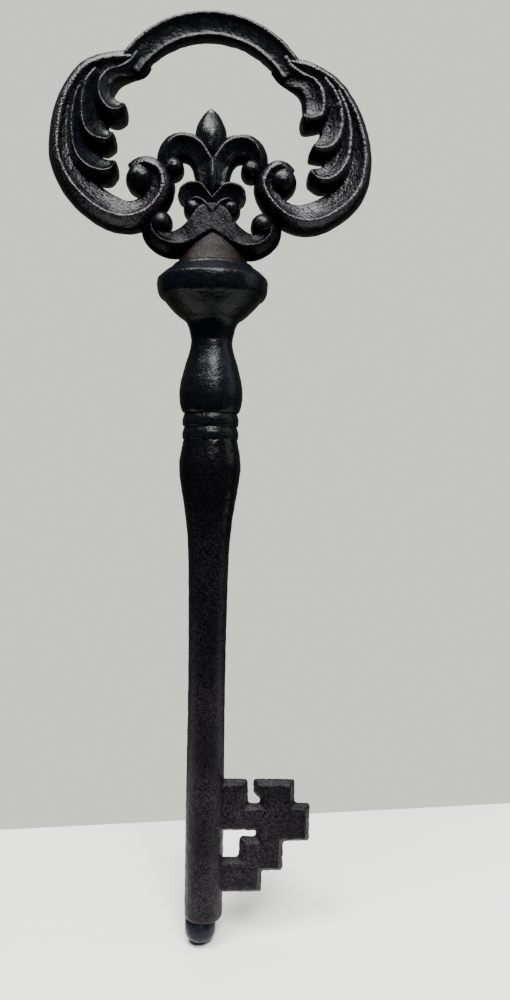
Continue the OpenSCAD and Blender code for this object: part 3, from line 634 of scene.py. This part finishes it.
petal_line = [
    [0.5, 31.6, 4.9, 31.2, 1, 1], [0.5, 36, 5.7, 34.6, 1, 1], [0.5, 41.5, 6.6, 38.6, 1, 1],
    [2.4, 45.2, 7.6, 41, 1, 1], [4.8, 48.4, 9, 42.8, 1, 1], [8.4, 50.5, 11, 43.7, 1, 1],
    [12.4, 51.1, 13, 43.8, 1, 1], [16, 50.2, 14.6, 43.4, 1, 1.1], [18.6, 47.4, 15.6, 42.6, 0.96, 1.3],
    [19.6, 43.8, 16, 41.6, 0.84, 1.4], [19.2, 40, 16.4, 40.2, 0.7, 1.3]
]
small_leaf_line = [
    [-0.5, 25.8, 0.6, 20.6, 1], [2.1, 29.2, 3.4, 23.6, 1], [4.6, 31.8, 6, 25.4, 1], [7.6, 32.5, 8, 25.6, 1],
    [10.8, 31.8, 9.6, 25.2, 1], [13, 29.8, 10.6, 25, 1], [13.4, 27, 11.2, 25, 0.96]
]
small_scroll_line = [
    [-0.5, 19.4, 3.2, 16.2, 0.9], [1.3, 22.6, 4.4, 19.2, 1], [3.2, 25, 5.6, 21, 1], [6.2, 26.3, 7, 21.8, 1],
    [8.6, 25.8, 8.2, 21.6, 0.9]
]
foot_line = [
    [-0.5, 13.4, -0.5, 24.5, 1, 1, 0.1], [3.8, 11.2, 4.8, 22.8, 1, 1, 0.04], [7.4, 8.8, 8.2, 18.6, 1, 1, 0],
    [11, 7.2, 11.2, 15.2, 1, 1, 0.2], [14.8, 6.8, 14.4, 13.2, 1, 1, 0.6], [18.6, 7.3, 17.6, 12.4, 1, 1, 1],
    [22, 9.2, 20, 12.8, 0.98, 1, 1], [24.4, 12, 21.6, 13.8, 0.92, 1, 1], [24.9, 15.4, 22, 15.4, 0.82, 1, 1],
    [23.6, 18.2, 21.4, 16.8, 0.7, 1, 1]
]
for side, sign in (("left", -1), ("right", 1)):
    flipped = side == "left"
    seed = 131.0 + 20 * sign
    scroll(side + "_petal_curl", petal_line, FLOWER_THICK, 0.4, 2.8, 1.4, 0.6, [side + "_petal"],
           seed=seed, mirrored=flipped, aside=FLOWER_ASIDE)
    knob(side + "_petal_knob", FLOWER_ASIDE + sign * 16.1, 39.0, 4.4, 8.0, [side + "_petal_ball"],
         seed=seed + 1)
    scroll(side + "_tier_leaf", small_leaf_line, FLOWER_THICK, 0.4, 1.2, 0.8, 0.5, [side + "_small_leaf"],
           seed=seed + 2, mirrored=flipped, aside=FLOWER_ASIDE)
    scroll(side + "_tier_curl", small_scroll_line, FLOWER_THICK, 0.4, 0.8, 0.6, 0.4, [side + "_small_ball"],
           seed=seed + 3, mirrored=flipped, aside=FLOWER_ASIDE)
    knob(side + "_tier_knob", FLOWER_ASIDE + sign * 7.7, 22.6, 4.2, 8.2, [side + "_small_ball"],
         seed=seed + 4)
    scroll(side + "_foot_curl", foot_line, FLOWER_THICK, 0.7, 4.4, 0.8, 0.5, [side + "_foot_scroll"],
           seed=seed + 5, mirrored=flipped, aside=FLOWER_ASIDE, finish=foot_grainy)
    knob(side + "_foot_knob", FLOWER_ASIDE + sign * 21.2, 16.6, 5.0, 8.4, [side + "_foot_ball"],
         seed=seed + 6)

bud_form("centre_petal_bud", [
    [42, 1.2, 5.5], [45, 3.6, 7.4], [49, 5.8, 8.2], [53, 6.6, 8.2], [56.6, 6.1, 7.2], [59.8, 4.7, 5.6],
    [62.6, 2.7, 3.6], [64.6, 0.6, 1]
], FLOWER_ASIDE - 0.9, ["centre_petal"], seed=161.0)
bud_form("stem_bud", [
    [27, 0.5, 7.4], [29.4, 2, 8.6], [32, 3, 9.2], [34.6, 3.3, 9.4], [37.6, 2.6, 9.2], [40.2, 1.4, 8.8],
    [42.4, 0.3, 8]
], FLOWER_ASIDE, ["bud"], seed=163.0)

# Pale floor under the tip; the key leans back over it

plain = bpy.data.materials.new("pale_floor")
plain.use_nodes = True
floor_shader = plain.node_tree.nodes["Principled BSDF"]
floor_shader.inputs["Base Color"].default_value = (0.80, 0.80, 0.78, 1.0)
floor_shader.inputs["Roughness"].default_value = 0.6

# The floor's directions in the key's frame, as the photograph gives them: up, and in to the wall
floor_up = Vector((-0.0895, -0.1896, 0.9777)).normalized()
floor_in = Vector((0.0545, 0.9793, 0.1949))
floor_in = (floor_in - floor_up * floor_in.dot(floor_up)).normalized()
floor_side = floor_in.cross(floor_up)
# The floor lies this far under the tip's end, because the key leans and the dome's side comes lower
FLOOR_GAP = 0.2
tip = Vector((TIP_ASIDE * MM, 0.0, (LOW + TIP_END) * MM)) - floor_up * (FLOOR_GAP * MM)
# The floor's reach from the tip, in metres: to the wall, to the front and to both sides
TO_WALL = 0.090
TO_FRONT = -0.07
TO_SIDE = 0.5
corners = [
    tip + floor_in * a + floor_side * b
    for a, b in ((TO_WALL, -TO_SIDE), (TO_WALL, TO_SIDE), (TO_FRONT, TO_SIDE), (TO_FRONT, -TO_SIDE))
]
bm = bmesh.new()
bm.faces.new([bm.verts.new(c) for c in corners])
bmesh.ops.recalc_face_normals(bm, faces=bm.faces)
mesh = bpy.data.meshes.new("floor")
bm.to_mesh(mesh)
bm.free()
floor = bpy.data.objects.new("floor", mesh)
floor.data.materials.append(plain)
bpy.context.scene.collection.objects.link(floor)

# Camera as the photograph was taken, and soft light

camera = bpy.data.objects.new("camera", bpy.data.cameras.new("camera"))
bpy.context.scene.collection.objects.link(camera)
SENSOR = 36.0
FOCAL_PIXELS = 869.2
PICTURE_HEIGHT = 1000.0
camera.data.lens = FOCAL_PIXELS * SENSOR / PICTURE_HEIGHT
camera.data.sensor_width = SENSOR
camera.data.clip_start = 0.01
right = Vector((0.998476, -0.052422, 0.017026))
up = Vector((-0.015153, 0.035948, 0.999241))
back = Vector((-0.05299, -0.997976, 0.035105))
stand = Vector((-0.00023, -0.36844, 0.20499 + LOW * MM))
camera.matrix_world = Matrix((
    (right.x, up.x, back.x, stand.x),
    (right.y, up.y, back.y, stand.y),
    (right.z, up.z, back.z, stand.z),
    (0, 0, 0, 1)
))
bpy.context.scene.camera = camera


def soft_light(name, place, aim, size, power):
    """A soft panel of light that faces the aim."""
    lamp = bpy.data.lights.new(name, "AREA")
    lamp.shape = "RECTANGLE"
    lamp.size, lamp.size_y = size
    lamp.energy = power
    holder = bpy.data.objects.new(name, lamp)
    holder.location = place
    holder.rotation_euler = (Vector(aim) - Vector(place)).to_track_quat("-Z", "Y").to_euler()
    bpy.context.scene.collection.objects.link(holder)


soft_light("panel", (0.14, -0.74, 0.64), (0.0, 0.0, -0.15), (0.42, 0.56), 29.0)
soft_light("ceiling", (0.0, -0.34, 1.0), (0.0, 0.0, -0.2), (1.9, 0.8), 20.0)
soft_light("left_panel", (-0.40, -0.34, 0.86), (0.0, 0.0, -0.2), (0.45, 0.45), 18.0)
soft_light("right_fill", (0.95, -0.10, 0.20), (0.0, 0.0, -0.2), (0.4, 0.7), 2.2)
soft_light("rear_top", (0.0, 0.40, 0.96), (0.0, 0.0, -0.1), (0.40, 0.42), 6.0)

# The room is pale to look at. It lights the key only weakly, and a little more from the wall behind.
ROOM_LIGHT = 0.03
WALL_LIGHT = 0.12
# Share of facing the wall at which its light begins and is whole
WALL_FROM = 0.2
WALL_TO = 0.9
world = bpy.data.worlds.new("pale_room")
bpy.context.scene.world = world
world.use_nodes = True
room = world.node_tree
towards = room.nodes.new("ShaderNodeTexCoord")
apart = room.nodes.new("ShaderNodeSeparateXYZ")
room.links.new(towards.outputs["Generated"], apart.inputs[0])
room_light = ramp(room, apart.outputs["Y"], WALL_FROM, WALL_TO, ROOM_LIGHT, WALL_LIGHT)
path = room.nodes.new("ShaderNodeLightPath")
strength = reckon(room, "MAXIMUM", room_light, path.outputs["Is Camera Ray"])
backdrop = room.nodes["Background"]
backdrop.inputs["Color"].default_value = (1.0, 1.01, 0.90, 1.0)
room.links.new(strength, backdrop.inputs["Strength"])
